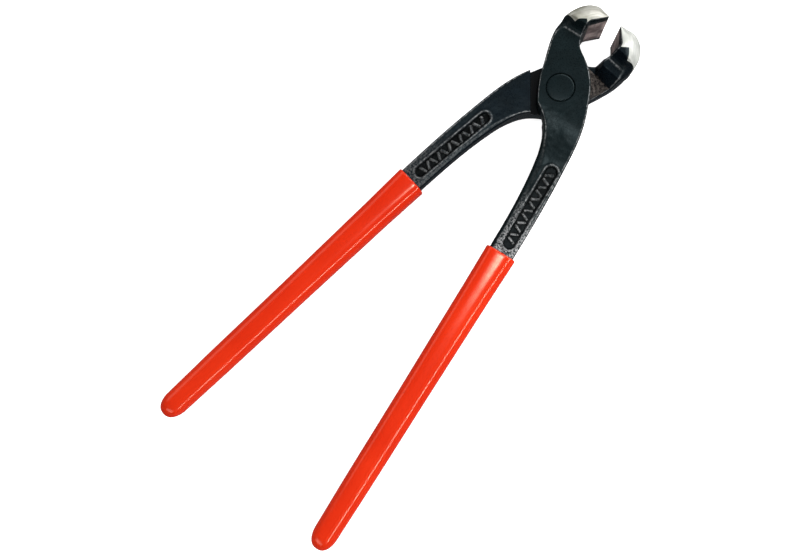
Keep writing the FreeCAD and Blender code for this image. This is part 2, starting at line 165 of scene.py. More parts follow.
# Angles in degrees past which an edge is drawn sharp, and the steps round a turned shape.
FORGED_SHARP, RIVET_SHARP, GRIP_SHARP = 35, 50, 60
BORE_STEPS, RIVET_STEPS = 96, 128

# Points nearer than this are joined, and edges shorter than this are dissolved.
WELD, DEGENERATE = 0.004, 0.001


def spline(points, per_span=40):
    """A smooth curve through the points, as a dense polyline (a natural cubic spline on chord length)."""
    p = np.array(points, float)
    if len(p) == 2:
        return p[0] + np.linspace(0, 1, per_span + 1)[:, None] * (p[1] - p[0])
    h = np.linalg.norm(np.diff(p, axis=0), axis=1)
    count = len(p)
    system = np.eye(count)
    right = np.zeros_like(p)
    for i in range(1, count - 1):
        system[i, i - 1:i + 2] = h[i - 1], 2 * (h[i - 1] + h[i]), h[i]
        right[i] = 6 * ((p[i + 1] - p[i]) / h[i] - (p[i] - p[i - 1]) / h[i - 1])
    bend = np.linalg.solve(system, right)
    out = [p[:1]]
    for i, span in enumerate(h):
        t = np.linspace(0, 1, per_span + 1)[1:, None]
        s = 1 - t
        out.append(s * p[i] + t * p[i + 1]
                   + span ** 2 / 6 * ((s ** 3 - s) * bend[i] + (t ** 3 - t) * bend[i + 1]))
    return np.concatenate(out)


def rail(*runs):
    """One long polyline from several curves, with the distance along it."""
    dense = [spline(run) for run in runs]
    line = np.concatenate([dense[0]] + [d[1:] for d in dense[1:]])
    along = np.concatenate([[0], np.cumsum(np.linalg.norm(np.diff(line, axis=0), axis=1))])
    return line, along


def place_on(line_along, point):
    """Distance along a rail of the place nearest a point."""
    line, along = line_along
    return along[np.argmin(np.linalg.norm(line - np.array(point), axis=1))]


def point_on(line_along, distance):
    """The point of a rail at a distance along it."""
    line, along = line_along
    return np.array([np.interp(distance, along, line[:, 0]), np.interp(distance, along, line[:, 1])])


def shoulder_distance(xy):
    """Distance from the rivet's axis along the shoulder line's normal."""
    return xy[..., 0] * math.cos(SHOULDER_ANGLE) + xy[..., 1] * math.sin(SHOULDER_ANGLE)


def shoulder_on(line_along, draft):
    """Distance along a rail where it crosses the shoulder line, moved by its draft."""
    line, along = line_along
    gap = shoulder_distance(line) - (SHOULDER_REACH - draft)
    i = np.nonzero((gap[:-1] >= 0) & (gap[1:] < 0))[0][0]
    return along[i] + (along[i + 1] - along[i]) * gap[i] / (gap[i] - gap[i + 1])


def smooth(t):
    """Smooth step from 0 to 1."""
    t = np.clip(t, 0, 1)
    return t * t * (3 - 2 * t)


def handle_half(y):
    """Half the handle's thickness at a place along it."""
    return HANDLE_HALF - (HANDLE_HALF - TAIL_HALF) * np.clip((SLOPE[0] - y) / TAPER_RUN, 0, 1)


def jaw_flare(y):
    """How far the jaw stands out past the plate's height."""
    flare = np.clip((y - FLARE[0]) / (FLARE[1] - FLARE[0]), 0, 1)
    return (JAW_HALF - PLATE_TOP) * flare ** FLARE_CURVE


def top_height(xy):
    """Height of the plate side over a plan point."""
    y = xy[..., 1]
    handle = handle_half(y)
    height = handle + (PLATE_TOP - handle) * smooth((y - SLOPE[0]) / (SLOPE[1] - SLOPE[0]))
    return height + jaw_flare(y)


def lap_height(xy):
    """Height of the lap side over a plan point: handle, shoulder, lap face, wall and jaw."""
    x, y = xy[..., 0], xy[..., 1]
    past = np.clip((shoulder_distance(xy) - (SHOULDER_REACH - SHOULDER_DRAFT)) / SHOULDER_DRAFT, 0, 1)
    joint = LAP_GAP + (-handle_half(y) - LAP_GAP) * past
    (x0, y0), (x1, y1) = WALL_NOTCH
    foot = WALL_FOOT + (y1 - y0) * np.clip((x - x0) / (x1 - x0), 0, 1)
    wall = LAP_GAP - (PLATE_TOP + LAP_GAP) * np.clip((y - foot) / WALL_RUN, 0, 1)
    return np.where(y > WALL_FOOT, wall - jaw_flare(y), joint)


def panel_relief(xy, ends, width):
    """Offset, outwards, of a sunk panel with a raised rim and a zigzag of ribs; and its marks: a worn rim and
    ribs with a painted highlight, and the sunk floor, painted dark as shade.
    """
    start, end = np.array(ends[0]), np.array(ends[1])
    length = np.linalg.norm(end - start)
    along = (end - start) / length
    side = np.array([-along[1], along[0]])
    u = (xy - start) @ along
    v = (xy - start) @ side
    beyond = np.maximum(np.maximum(-u, u - length), 0)
    from_edge = np.hypot(v, beyond) - width / 2
    # 1 on the panel floor: sinks it, and is also the mark that paints the floor dark as shade
    sunk = smooth((-from_edge - 0.05) / PANEL_WALL)
    relief = -PANEL_DEPTH * sunk
    ridge = np.exp(-((from_edge - RIM_OUTSIDE) / RIM_WIDTH) ** 2)
    relief += RIM_HEIGHT * ridge
    # the rim's mark: worn along its ridge, with a painted highlight
    wear_and_glint = 0.9 * ridge ** 2
    for i in range(RIB_COUNT):
        du = u - length * (i + 0.5) / RIB_COUNT
        slant = -RIB_SLANT * (-1) ** i
        lengthwise = math.cos(slant) * v + math.sin(slant) * du
        across = -math.sin(slant) * v + math.cos(slant) * du
        rib = smooth((RIB_LENGTH / 2 + RIB_END_RUN - np.abs(lengthwise)) / RIB_FLANK)
        rib = rib * smooth((RIB_WIDTH / 2 + RIB_FLANK / 2 - np.abs(across)) / RIB_FLANK)
        relief += RIB_HEIGHT * rib
        # the ribs' marks: worn on their tops, with a painted glint on their flanks
        wear_and_glint += 0.5 * rib ** 2 + 2.0 * rib * (1 - rib)
        sunk *= 1 - rib
    return relief, np.column_stack([np.minimum(wear_and_glint, 1), sunk])


def lever_rows():
    """Every row as (left point, right point, knot index, corner sizes), from the grip's rim to the edge."""
    left_rail = rail(HANDLE_INSIDE, [HANDLE_INSIDE[-1], PLATE_CORNER], [PLATE_CORNER, PLATE_OUTSIDE[0]],
                     PLATE_OUTSIDE, CROWN)
    right_rail = rail(HANDLE_OUTSIDE, THROAT, [THROAT[-1], CUTTING_EDGE])
    places = []
    for left, right, *_ in KNOTS:
        if left == SHOULDER:
            places.append((shoulder_on(left_rail, right), shoulder_on(right_rail, right)))
        else:
            places.append((place_on(left_rail, left), place_on(right_rail, right)))

    rows = []
    for k, (knot, following) in enumerate(zip(KNOTS, KNOTS[1:])):
        for step in range(knot[2]):
            t = step / knot[2]
            left = point_on(left_rail, places[k][0] + t * (places[k + 1][0] - places[k][0]))
            right = point_on(right_rail, places[k][1] + t * (places[k + 1][1] - places[k][1]))
            corners = [np.array(a) + smooth(t) * (np.array(b) - a) for a, b in zip(knot[3:], following[3:])]
            rows.append((left, right, k, corners))
    edge = np.array(CUTTING_EDGE)
    rows.append((edge, edge, len(KNOTS) - 1, [np.array(c) for c in KNOTS[-1][3:]]))

    # over the jaw the corners change along one smooth line
    sizes = np.array([row[3] for row in rows])
    jaw = next(i for i, row in enumerate(rows) if row[2] > WALL_KNOT)
    for _ in range(JAW_BLENDS):
        sizes[jaw:-1] = (sizes[jaw - 1:-2] + sizes[jaw:-1] + sizes[jaw + 1:]) / 3
    return [(left, right, k, corners) for (left, right, k, _), corners in zip(rows, sizes)]


def corner(sizes, widest, room):
    """Points of a rounded corner as (inset, drop), from the flat face to the side."""
    inset = min(sizes[0], widest)
    drop = min(sizes[1], room)
    turn = np.linspace(0, math.pi / 2, CORNER_STEPS)
    return np.column_stack([inset * (1 - np.sin(turn)), drop * (1 - np.cos(turn))])


def worn_glint_corner(sizes):
    """Marks round a corner: worn, with a painted highlight, next to its flat face, and less so the broader
    the corner is.
    """
    marks = np.zeros((CORNER_STEPS - 1, 2))
    marks[:2, 0] = np.array([1.0, 0.5]) * min(1.0, 1 / sizes[0]) ** 2
    return marks


def lever_loop(left, right, corners):
    """One closed loop of points round the lever, each point's region, and its marks: worn edges with a
    painted highlight, and painted shade on panel floors.
    """
    width = np.linalg.norm(right - left)
    across = (right - left) / width if width > 1e-6 else np.array([1.0, 0.0])
    room_left, room_right = ((top_height(p) - lap_height(p) - LEAST_SIDE) / 2 for p in (left, right))
    rooms = [(LEFT_SHARE * width, room_left), (RIGHT_SHARE * width, room_right)] * 2
    top_left, top_right, lap_left, lap_right = (corner(c, *room) for c, room in zip(corners, rooms))
    for rounded in (top_right, lap_right):
        rounded[:, 0] = width - rounded[:, 0]

    def top(path):
        xy = left + across * path[:, :1]
        return np.column_stack([xy, top_height(xy) - path[:, 1]])

    def lap(path):
        xy = left + across * path[:, :1]
        return np.column_stack([xy, lap_height(xy) + path[:, 1]])

    face_top = top(np.linspace(top_left[0], top_right[0], FACE_STEPS + 1))
    corner_tr = top(top_right[1:])
    corner_br = lap(lap_right[:0:-1])
    face_lap = lap(np.linspace(lap_right[0], lap_left[0], FACE_STEPS + 1))
    corner_bl = lap(lap_left[1:])
    corner_tl = top(top_left[:0:-1])
    s = np.linspace(0, 1, SIDE_STEPS + 2)[1:-1, None]
    side_right = corner_tr[-1] + s * (corner_br[0] - corner_tr[-1])
    side_left = corner_bl[-1] + s * (corner_tl[0] - corner_bl[-1])
    pieces = [face_top, corner_tr, side_right, corner_br, face_lap, corner_bl, side_left, corner_tl]
    regions = np.concatenate([[i] * len(p) for i, p in enumerate(pieces)])

    face_marks = []
    for face, (ends, breadth), outwards in ((face_top, TOP_PANEL, 1), (face_lap, LAP_PANEL, -1)):
        marks = np.zeros((len(face), 2))
        # a painted highlight line across the flare's foot
        marks[:, 0] = FLARE_LINE_GLINT * np.exp(-((face[:, 1] - FLARE_LINE) / FLARE_LINE_HALF) ** 2)
        if ends[1][1] - PANEL_MARGIN < face[0, 1] < ends[0][1] + PANEL_MARGIN:
            relief, marks = panel_relief(face[:, :2], ends, breadth)
            face[:, 2] += outwards * relief
        face_marks.append(marks)
    plain = np.zeros((SIDE_STEPS, 2))
    worn_glint_tl, worn_glint_tr, worn_glint_bl, worn_glint_br = (worn_glint_corner(c) for c in corners)
    marks = [face_marks[0], worn_glint_tr, plain, worn_glint_br[::-1],
             face_marks[1], worn_glint_bl, plain, worn_glint_tl[::-1]]
    return np.concatenate(pieces), regions, np.concatenate(marks)


def bar_loop(distance):
    """The loop round the bar inside the grip, with the same points as the lever's loops."""
    sizes = np.array(BAR)
    width, height, radius = (np.interp(distance, sizes[:, 0], sizes[:, i]) for i in (1, 2, 3))
    rounded = corner((radius, radius), radius, radius)
    quarter = np.column_stack([width / 2 - rounded[:, 0], height / 2 - rounded[:, 1]])
    top_right, lap_right, lap_left, top_left = (quarter * way for way in ((1, 1), (1, -1), (-1, -1), (-1, 1)))
    right = np.linspace(top_right[-1], lap_right[-1], SIDE_STEPS + 2)[1:-1]
    left = np.linspace(lap_left[-1], top_left[-1], SIDE_STEPS + 2)[1:-1]
    section = np.concatenate([
        np.linspace(top_left[0], top_right[0], FACE_STEPS + 1), top_right[1:], right, lap_right[:0:-1],
        np.linspace(lap_right[0], lap_left[0], FACE_STEPS + 1), lap_left[1:], left, top_left[:0:-1],
    ])
    away = np.array([math.sin(BAR_LEAN), -math.cos(BAR_LEAN)])
    across = np.array([math.cos(BAR_LEAN), math.sin(BAR_LEAN)])
    xy = np.array(BAR_START) + away * distance + across * section[:, :1]
    return np.column_stack([xy, section[:, 1]])


def new_object(name, vertices, faces, materials, indices=None, sharp=FORGED_SHARP, marks=None):
    """A mesh object from points in millimetres, smooth-shaded with sharp edges where it turns."""
    mesh = bpy.data.meshes.new(name)
    mesh.from_pydata([tuple(v) for v in np.asarray(vertices) * MM], [], faces)
    for material in materials:
        mesh.materials.append(material)
    if indices is not None:
        mesh.polygons.foreach_set("material_index", np.array(indices, np.int32))
    if marks is not None:
        # two point marks: worn edges with a painted highlight, then panel floors for painted shade
        for column, label in enumerate(("wear_and_glint", "sunk")):
            values = np.array(marks[:, column], np.float32)
            mesh.attributes.new(label, "FLOAT", "POINT").data.foreach_set("value", values)
    mesh.validate()
    mesh.shade_smooth()
    mesh.set_sharp_from_angle(angle=math.radians(sharp))
    obj = bpy.data.objects.new(name, mesh)
    bpy.context.scene.collection.objects.link(obj)
    return obj


def lathe(profile, steps):
    """Vertices and faces of a closed solid turned about Z from (radius, height) points, bottom to top."""
    vertices, faces = [(0, 0, profile[0][1])], []
    rings = [p for p in profile if p[0] > 0]
    for r, z in rings:
        for i in range(steps):
            a = 2 * math.pi * i / steps
            vertices.append((r * math.cos(a), r * math.sin(a), z))
    vertices.append((0, 0, profile[-1][1]))
    last = len(vertices) - 1
    for i in range(steps):
        j = (i + 1) % steps
        faces.append((0, 1 + j, 1 + i))
        for k in range(len(rings) - 1):
            base = 1 + k * steps
            faces.append((base + i, base + j, base + steps + j, base + steps + i))
        top_ring = 1 + (len(rings) - 1) * steps
        faces.append((top_ring + i, top_ring + j, last))
    return vertices, faces


def lever_placement(flipped):
    """From the lever frame to the row frame, in metres: the lower lever is turned over."""
    raised = Matrix.Translation((0, 0, PLATE_TOP * MM))
    if flipped:
        half = HALF_OPEN / 2
        return raised @ Matrix.Rotation(math.pi, 4, Vector((math.sin(half), math.cos(half), 0)))
    return raised @ Matrix.Rotation(HALF_OPEN, 4, "Z")


def put_in_place(obj, matrix):
    """Put a piece in place in its mesh, so that its object stays at the origin."""
    obj.data.transform(matrix)
    obj.data.update()


def weld_near(obj):
    """Join the points that meet, as along the cutting edge, and turn all faces outwards."""
    bm = bmesh.new()
    bm.from_mesh(obj.data)
    bmesh.ops.remove_doubles(bm, verts=bm.verts, dist=WELD * MM)
    bmesh.ops.dissolve_degenerate(bm, dist=DEGENERATE * MM, edges=bm.edges)
    bmesh.ops.recalc_face_normals(bm, faces=bm.faces)
    bm.to_mesh(obj.data)
    bm.free()


# The rivet's bore, countersink and eased mouth, as (radius, height above the lap plane).
BORE = [(0, -1), (4.75, -1), (4.75, 5.7), (5.9, 7.0), (5.9, 7.75), (6.15, 8.0), (6.2, 9.5), (0, 9.5)]


def forged_skin(points, count, knots, regions, seed):
    """Move the points by the forging's own unevenness, all but the lap faces and the ground jaw."""
    shift = Vector((seed, 2.3 * seed, -seed))
    for i, p in enumerate(points):
        knot, region = knots[i // count], regions[i % count]
        if knot < 0 or knot >= CROWN_KNOT:
            continue
        if region in (LAP_RIGHT, LAP, LAP_LEFT) and LAP_KNOT <= knot < WALL_KNOT:
            continue
        where = Vector(p) + shift
        wave = sum(noise.noise(where * scale) * size for scale, size in FORGED_WAVES)
        if region in (TOP, TOP_RIGHT, TOP_LEFT):
            p[2] += wave - SKIN_LET_IN
        elif region in (LAP, LAP_LEFT, LAP_RIGHT):
            p[2] -= wave - SKIN_LET_IN
        else:
            p[0] += wave * (1 if region == RIGHT else -1)


def steel_of(knot, region):
    """The material slot of a face, from its row's knot and its stretch of the loop."""
    if knot >= CROWN_KNOT and region in (LAP_LEFT, LEFT, TOP_LEFT):
        return CROWN_STEEL
    if knot >= CROWN_TOP_KNOT and region in (TOP, LAP):
        return CROWN_STEEL
    if knot >= BEVEL_KNOT and region == RIGHT:
        return BEVEL_STEEL
    if LAP_KNOT <= knot < WALL_KNOT and region == LAP:
        return LAP_STEEL
    return BLACK


def cut_bore(lever, material):
    """Cut the rivet's bore out of a lever for good, and give its mesh its sharp edges again."""
    vertices, faces = lathe(BORE, BORE_STEPS)
    cutter = new_object(lever.name + "_cutter", vertices, faces, [material])
    cut = lever.modifiers.new("bore", "BOOLEAN")
    cut.operation = "DIFFERENCE"
    cut.solver = "EXACT"
    cut.object = cutter
    bpy.context.view_layer.update()
    evaluated = lever.evaluated_get(bpy.context.evaluated_depsgraph_get())
    finished = bpy.data.meshes.new_from_object(evaluated)
    lever.modifiers.clear()
    lever.data = finished
    bpy.data.objects.remove(cutter)
    finished.set_sharp_from_angle(angle=math.radians(FORGED_SHARP))


def make_lever(name, node, body, flipped, seed, materials):
    """One forged lever: rows of loops from the bar's end to the cutting edge, with relief and the bore."""
    loops = [bar_loop(distance) for distance in BAR_RINGS]
    knots = [-1] * len(loops)
    marks = [np.zeros((len(loops[0]), 2))] * len(loops)
    for left, right, knot, corners in lever_rows():
        loop, regions, loop_marks = lever_loop(left, right, corners)
        loops.append(loop)
        knots.append(knot)
        marks.append(loop_marks)
    count = len(regions)
    points = np.concatenate(loops)
    lean = -JAW_LEAN if flipped else JAW_LEAN
    points[:, 0] += lean * smooth((points[:, 1] - JAW_LEAN_START) / JAW_LEAN_RUN)
    forged_skin(points, count, knots, regions, seed)

    faces, indices = [], []
    for i, knot in enumerate(knots[:-1]):
        a, b = i * count, (i + 1) * count
        for j, region in enumerate(regions):
            k = (j + 1) % count
            faces.append((a + j, b + j, b + k, a + k))
            indices.append(steel_of(knot, region))
    faces.append(tuple(range(count)))
    indices.append(BLACK)
    lever = new_object(name, points, faces, materials, indices, marks=np.concatenate(marks))
    weld_near(lever)
    cut_bore(lever, materials[BLACK])
    put_in_place(lever, lever_placement(flipped))
    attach(lever, body)
    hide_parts(node)


# ---------------------------------------------------------------------------------------------
# Grips and rivet
# ---------------------------------------------------------------------------------------------
# One section of the grip a line: distance from its rim, width, height, and squareness (2 is an ellipse).
GRIP_LENGTH, GRIP_TIP = 146.0, 7.5
GRIP = [
    (0.0, 13.6, 12.0, 3.6),
    (3.0, 13.5, 11.9, 3.4),
    (20.0, 12.9, 11.5, 3.0),
    (70.0, 12.0, 10.8, 2.7),
    (115.0, 11.5, 10.3, 2.6),
    (140.0, 10.8, 9.7, 2.5),
    (GRIP_LENGTH, 10.5, 9.5, 2.4),
]
GRIP_AROUND, BODY_RINGS = 96, 70

# The grip's rim: how round it is, how far its inner lip is let in, and the coat's clearance round the bar.
RIM_ROUND, LIP_LET_IN, COAT_GAP = 0.6, 0.3, 0.06

# Rings of the inner wall, as distances from the rim, from the end of the bar outwards.
INNER_RINGS = (BAR_LENGTH, 85.0, 30.0, 0.9)

# The dipped coat's unevenness: how its pattern is scaled across and along the grip, its waves as (scale,
# share of the grip's size), and the run from the tip over which they grow, from the share they have there.
COAT_SCALE = Vector((0.06, 0.035, 0.06))
COAT_WAVES = ((1.0, 0.0056), (3.1, 0.00175))
COAT_FADE, COAT_AT_TIP = 10.0, 0.2


def grip_ring(distance, grow, end_squeeze=1.0):
    """One ring of the grip's section at a distance from its rim, in the bar's own frame."""
    sizes = np.array(GRIP)
    width, height, square = (np.interp(distance, sizes[:, 0], sizes[:, i]) for i in (1, 2, 3))
    a = np.linspace(0, 2 * math.pi, GRIP_AROUND, endpoint=False)
    c, s = np.cos(a), np.sin(a)
    half_w, half_h = (width / 2 + grow) * end_squeeze, (height / 2 + grow) * end_squeeze
    x = half_w * np.sign(c) * np.abs(c) ** (2 / square)
    z = half_h * np.sign(s) * np.abs(s) ** (2 / square)
    return np.column_stack([x, np.full_like(x, -distance), z])


def inner_ring(distance):
    """One ring of the grip's inner wall, close round the bar."""
    bar, grip = np.array(BAR), np.array(GRIP)
    ring = grip_ring(distance, 0)
    for axis, column in ((0, 1), (2, 2)):  # width, then height
        inside = np.interp(distance, bar[:, 0], bar[:, column]) + COAT_GAP
        ring[:, axis] *= inside / np.interp(distance, grip[:, 0], grip[:, column])
    return ring


def grip_rings():
    """All rings of the grip: inner wall, inner lip, rolled rim, tapering body and rounded end."""
    rings = [inner_ring(distance) for distance in INNER_RINGS]
    for turn in np.linspace(0, 1, 7):
        depth = RIM_ROUND * (1 - math.sin(turn * math.pi / 2))
        rings.append(grip_ring(depth, -RIM_ROUND - LIP_LET_IN * (1 - turn)))
    for turn in np.linspace(1, 0, 6)[1:]:
        angle = turn * math.pi / 2
        rings.append(grip_ring(RIM_ROUND * (1 - math.sin(angle)), RIM_ROUND * (math.cos(angle) - 1)))
    body_end = GRIP_LENGTH - GRIP_TIP
    rings += [grip_ring(distance, 0) for distance in np.linspace(2, body_end, BODY_RINGS)]
    for turn in np.linspace(0, 1, 14)[1:-1]:
        angle = turn * math.pi / 2
        rings.append(grip_ring(body_end + GRIP_TIP * math.sin(angle), 0, math.cos(angle) ** 0.8))
    return rings


def make_grip(name, node, body, flipped, seed, material):
    """One dipped sleeve: a rolled rim, a long tapering body, a rounded end, and its inner wall."""
    rings = grip_rings()
    points = np.concatenate(rings + [[(0, -BAR_LENGTH, 0), (0, -GRIP_LENGTH, 0)]])
    count = GRIP_AROUND
    inner_end, outer_end = len(points) - 2, len(points) - 1
    faces = []
    for i in range(len(rings) - 1):
        a, b = i * count, (i + 1) * count
        for j in range(count):
            k = (j + 1) % count
            faces.append((a + j, a + k, b + k, b + j))
    last = (len(rings) - 1) * count
    for j in range(count):
        k = (j + 1) % count
        faces.append((inner_end, k, j))
        faces.append((last + j, last + k, outer_end))

    shift = Vector((seed, -seed, 2 * seed))
    for p in points[len(INNER_RINGS) * count:]:
        where = Vector(p) * COAT_SCALE + shift
        wave = sum(noise.noise(where * scale) * share for scale, share in COAT_WAVES)
        fade = min(1.0, (GRIP_LENGTH + p[1]) / COAT_FADE + COAT_AT_TIP)
        p[0] *= 1 + wave * fade
        p[2] *= 1 + wave * fade

    grip = new_object(name, points, faces, [material], sharp=GRIP_SHARP)
    weld_near(grip)
    x, y = BAR_START
    start = Matrix.Translation((x * MM, y * MM, 0)) @ Matrix.Rotation(BAR_LEAN, 4, "Z")
    put_in_place(grip, lever_placement(flipped) @ start)
    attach(grip, body)
    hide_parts(node)


# One half of the rivet from shank to head, as (radius, height above the lap plane).
RIVET_HALF = [(4.5, 0.3), (4.5, 5.6), (5.65, 6.85), (5.65, 7.5), (5.55, 7.72), (5.3, 7.84), (4.9, 7.88),
              (2.5, 7.94), (0, 7.95)]


def make_rivet(material):
    """The rivet, with a flush head at each end, eased at its rim."""
    profile = [(r, -z) for r, z in reversed(RIVET_HALF)] + RIVET_HALF
    vertices, faces = lathe(profile, RIVET_STEPS)
    rivet = new_object("flush_rivet", vertices, faces, [material], sharp=RIVET_SHARP)
    put_in_place(rivet, Matrix.Translation((0, 0, PLATE_TOP * MM)))
    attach(rivet, "lower_half")
    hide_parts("rivet")


# ---------------------------------------------------------------------------------------------
# Materials
# ---------------------------------------------------------------------------------------------
class Nodes:
    """A material's node tree, with short calls for the nodes used here. Lengths are in metres."""

    def __init__(self, name):
        self.material = bpy.data.materials.new(name)
        self.material.use_nodes = True
        self.tree = self.material.node_tree
        self.shader = self.tree.nodes["Principled BSDF"]
        self.place = self.tree.nodes.new("ShaderNodeTexCoord").outputs["Object"]

    def new(self, kind, **settings):
        """A shader node of a kind, with its settings."""
        node = self.tree.nodes.new("ShaderNode" + kind)
        for key, value in settings.items():
            setattr(node, key, value)
        return node

    def join(self, source, target):
        """Link an output to an input."""
        self.tree.links.new(source, target)

    def stretched(self, scale):
        """Object coordinates scaled along each axis."""
        mapping = self.new("Mapping")
        mapping.inputs["Scale"].default_value = scale
        self.join(self.place, mapping.inputs["Vector"])
        return mapping.outputs["Vector"]

    def noise(self, scale, detail, roughness, vector=None):
        """Noise from 0 to 1, with about this many waves a metre."""
        node = self.new("TexNoise")
        node.inputs["Scale"].default_value = scale
        node.inputs["Detail"].default_value = detail
        node.inputs["Roughness"].default_value = roughness
        self.join(vector or self.place, node.inputs["Vector"])
        return node.outputs["Fac"]

    def ramp(self, value, *stops):
        """Colour or value by stops of (position, colour)."""
        node = self.new("ValToRGB")
        ramp = node.color_ramp
        while len(ramp.elements) < len(stops):
            ramp.elements.new(0.5)
        for element, (position, colour) in zip(ramp.elements, stops):
            element.position = position
            element.color = (*colour, 1) if isinstance(colour, tuple) else (colour, colour, colour, 1)
        self.join(value, node.inputs["Fac"])
        return node.outputs["Color"]

    def mix(self, factor, a, b):
        """Colour a where the factor is 0 and colour b where it is 1."""
        node = self.new("Mix", data_type="RGBA")
        for socket, value in ((node.inputs[0], factor), (node.inputs[6], a), (node.inputs[7], b)):
            if isinstance(value, (tuple, float, int)):
                socket.default_value = (*value, 1) if isinstance(value, tuple) else value
            else:
                self.join(value, socket)
        return node.outputs[2]

    def bump(self, height, strength, distance, below=None):
        """Fine relief in the shading, over another relief if there is one."""
        node = self.new("Bump")
        node.inputs["Strength"].default_value = strength
        node.inputs["Distance"].default_value = distance
        self.join(height, node.inputs["Height"])
        if below:
            self.join(below, node.inputs["Normal"])
        return node.outputs["Normal"]

    def mark(self, label):
        """A mark on the forging's points: the first label is 1 on worn edges and ridges, painted with a
        highlight, and sunk is 1 on panel floors, painted dark as shade.
        """
        return self.new("Attribute", attribute_name=label).outputs["Fac"]

    def between(self, axis, low, high):
        """0 below one place along an axis and 1 above another, in millimetres."""
        axes = self.new("SeparateXYZ")
        self.join(self.place, axes.inputs[0])
        span = self.new("MapRange")
        self.join(axes.outputs[axis], span.inputs["Value"])
        span.inputs["From Min"].default_value = low * MM
        span.inputs["From Max"].default_value = high * MM
        return span.outputs["Result"]

    def times(self, a, b):
        """The product of two values."""
        node = self.new("Math", operation="MULTIPLY")
        self.join(a, node.inputs[0])
        self.join(b, node.inputs[1])
        return node.outputs[0]

    def set(self, **values):
        """Set or link the shader's inputs, and return the finished material."""
        for key, value in values.items():
            socket = self.shader.inputs[key.replace("_", " ")]
            if isinstance(value, (tuple, float, int)):
                socket.default_value = (*value, 1) if isinstance(value, tuple) else value
            else:
                self.join(value, socket)
        return self.material


def black_forging(name, tint, seed, glint_fleck):
    """Blackened forged steel: dark blue-green oxide over a fine forged grain, with worn edges and ridges
    painted brighter as a highlight, panel floors painted dark as shade, and painted glint specks near the
    grip.
    """
    n = Nodes(name)
    mottle = n.noise(140 + seed, 5, 0.65)
    grain = n.noise(1500, 4, 0.7)
    base = n.ramp(mottle, (0.3, tuple(0.7 * c for c in tint)), (0.7, tuple(1.4 * c for c in tint)))
    # panel floors painted near-black: painted shade
    base = n.mix(n.mark("sunk"), base, (0.002, 0.002, 0.002))
    # worn edges, ridges and the flare's foot painted light grey: worn steel and a painted highlight
    broken = n.ramp(n.noise(700, 4, 0.7), (0.42, 0.1), (0.60, 1.0))
    colour = n.mix(n.times(n.mark("wear_and_glint"), broken), base, (0.26, 0.265, 0.265))
    # painted glint specks on the rim tops near the grip: a painted reflection of the lamp above
    glint_flecks = n.ramp(n.noise(1400, 3, 0.7), (0.46, 0.0), (0.60, 1.0))
    glint_patch_near_grip = n.times(n.between("Y", -40, -66), n.between("Z", 12.1, 12.6))
    colour = n.mix(n.times(glint_patch_near_grip, glint_flecks), colour, (glint_fleck, glint_fleck, glint_fleck))
    rough = n.ramp(grain, (0.3, 0.24), (0.7, 0.34))
    relief = n.bump(grain, 0.4, 0.00006)
    relief = n.bump(mottle, 0.08, 0.0004, relief)
    n.shader.inputs["Specular Tint"].default_value = (0.75, 0.95, 1.0, 1.0)
    # panel floors also reflect less: painted shade
    gloss = n.ramp(n.mark("sunk"), (0.0, 0.13), (1.0, 0.05))
    return n.set(Base_Color=colour, Specular_IOR_Level=gloss, Roughness=rough, Normal=relief)


def ground_steel(name, dark, light, stretch, rough):
    """Bright ground steel with the wheel's fine streaks."""
    n = Nodes(name)
    streak = n.noise(1.0, 6, 0.7, n.stretched(stretch))
    patch = n.noise(110, 3, 0.5)
    colour = n.mix(n.ramp(patch, (0.4, 0.0), (0.6, 1.0)), dark, light)
    colour = n.mix(n.ramp(streak, (0.4, 0.0), (0.6, 0.6)), colour, dark)
    relief = n.bump(streak, 0.35, 0.0001)
    return n.set(Base_Color=colour, Metallic=0.35, Roughness=rough, Normal=relief)


def lap_steel(name):
    """The rubbing face between the levers: brown-grey and scuffed near the jaws, and painted near-black as
    shade behind the rivet.
    """
    n = Nodes(name)
    scuff = n.noise(900, 5, 0.8)
    brown = n.ramp(scuff, (0.40, (0.002, 0.002, 0.002)), (0.62, (0.11, 0.095, 0.085)))
    # near-black behind the rivet: painted shade; scuffed brown towards the jaws
    colour = n.mix(n.between("Y", 4, 9), (0.004, 0.005, 0.006), brown)
    relief = n.bump(n.noise(1200, 4, 0.7), 0.5, 0.00015)
    return n.set(Base_Color=colour, Specular_IOR_Level=0.1, Roughness=0.6, Normal=relief)


def vinyl(name):
    """Glossy dipped vinyl: orange-red, faintly uneven, with the soft waviness of a dipped coat."""
    n = Nodes(name)
    cloud = n.noise(28, 3, 0.5)
    speck = n.noise(900, 3, 0.6)
    colour = n.ramp(cloud, (0.3, (0.60, 0.020, 0.0035)), (0.7, (0.70, 0.029, 0.0055)))
    wave = n.noise(60, 2, 0.4, n.stretched((1, 0.35, 1)))
    relief = n.bump(wave, 0.2, 0.0005)
    relief = n.bump(speck, 0.05, 0.0001, relief)
    rough = n.ramp(speck, (0.3, 0.14), (0.7, 0.19))
    n.shader.inputs["Specular Tint"].default_value = (1.0, 0.72, 0.55, 1.0)
    return n.set(Base_Color=colour, Specular_IOR_Level=0.5, Roughness=rough, Normal=relief)


def floor_paint():
    """A plain, faintly mottled pale floor, lit from inside like a light table."""
    n = Nodes("pale_floor")
    colour = n.ramp(n.noise(6, 2, 0.5), (0.3, 0.60), (0.7, 0.64))
    return n.set(Base_Color=colour, Roughness=0.9, Specular_IOR_Level=0.0, Emission_Color=(1.0, 1.0, 1.0),
                 Emission_Strength=0.93)


# ---------------------------------------------------------------------------------------------
# Studio: floor, lights and camera, in metres
# ---------------------------------------------------------------------------------------------
# The floor's edge and then the wall, as (radius, height above the floor), and the gap under the tool.
SET_PROFILE = ((2.5, 0.0), (2.5, 0.001), (3.2, 0.35), (3.6, 1.2), (3.7, 3.2))
SET_STEPS, FLOOR_GAP = 64, 0.0001

